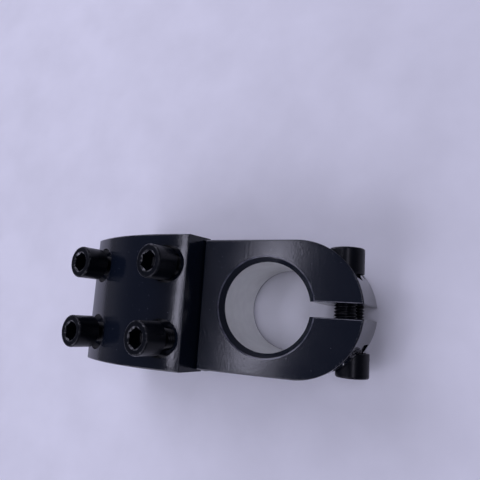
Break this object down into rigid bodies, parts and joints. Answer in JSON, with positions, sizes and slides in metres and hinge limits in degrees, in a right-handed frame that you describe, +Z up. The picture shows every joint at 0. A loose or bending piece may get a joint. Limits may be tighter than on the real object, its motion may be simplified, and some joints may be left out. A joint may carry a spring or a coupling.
{
  "type": "handlebar stem",
  "caption": "Top-load handlebar stem: slotted steerer clamp with crossed pinch bolts and a tilted bar clamp whose crowned cap is held by socket-head bolts.",
  "frame": {"origin": "on the steerer tube's axis, halfway up the steerer clamp", "axes": "+X forwards from the steerer to the bar, +Y to the rider's left along the bar, +Z up the steerer tube"},
  "size_m": [0.1024, 0.044, 0.0487],
  "materials": {
    "black_paint": "gloss",
    "black_steel": "satin"
  },
  "bodies": {
    "stem_body": {"stem_body": "black_paint"},
    "bar_cap": {"bar_cap": "black_paint"},
    "cap_bolt_front_left": {"cap_bolt_front_left": "black_steel"},
    "cap_bolt_front_right": {"cap_bolt_front_right": "black_steel"},
    "cap_bolt_rear_left": {"cap_bolt_rear_left": "black_steel"},
    "cap_bolt_rear_right": {"cap_bolt_rear_right": "black_steel"},
    "pinch_bolt_upper": {"pinch_bolt_upper": "black_steel"},
    "pinch_bolt_lower": {"pinch_bolt_lower": "black_steel"}
  },
  "joints": [
    {"name": "cap_lift", "type": "slide", "parent": "stem_body", "child": "bar_cap", "axis": [0.2588, 0, 0.9659], "range_m": [0, 0.03]},
    {"name": "cap_bolt_front_left_screw", "type": "slide", "parent": "bar_cap", "child": "cap_bolt_front_left", "axis": [0.2588, 0, 0.9659], "range_m": [-0.0061, 0.00765]},
    {"name": "cap_bolt_front_right_screw", "type": "slide", "parent": "bar_cap", "child": "cap_bolt_front_right", "axis": [0.2588, 0, 0.9659], "range_m": [-0.0055, 0.00825]},
    {"name": "cap_bolt_rear_left_screw", "type": "slide", "parent": "bar_cap", "child": "cap_bolt_rear_left", "axis": [0.2588, 0, 0.9659], "range_m": [-0.0054, 0.00835]},
    {"name": "cap_bolt_rear_right_screw", "type": "slide", "parent": "bar_cap", "child": "cap_bolt_rear_right", "axis": [0.2588, 0, 0.9659], "range_m": [-0.0033, 0.01045]},
    {"name": "pinch_bolt_upper_screw", "type": "slide", "parent": "stem_body", "child": "pinch_bolt_upper", "axis": [0, -1, 0], "range_m": [-0.0015, 0.0112]},
    {"name": "pinch_bolt_lower_screw", "type": "slide", "parent": "stem_body", "child": "pinch_bolt_lower", "axis": [0, 1, 0], "range_m": [-0.0029, 0.0098]}
  ]
}
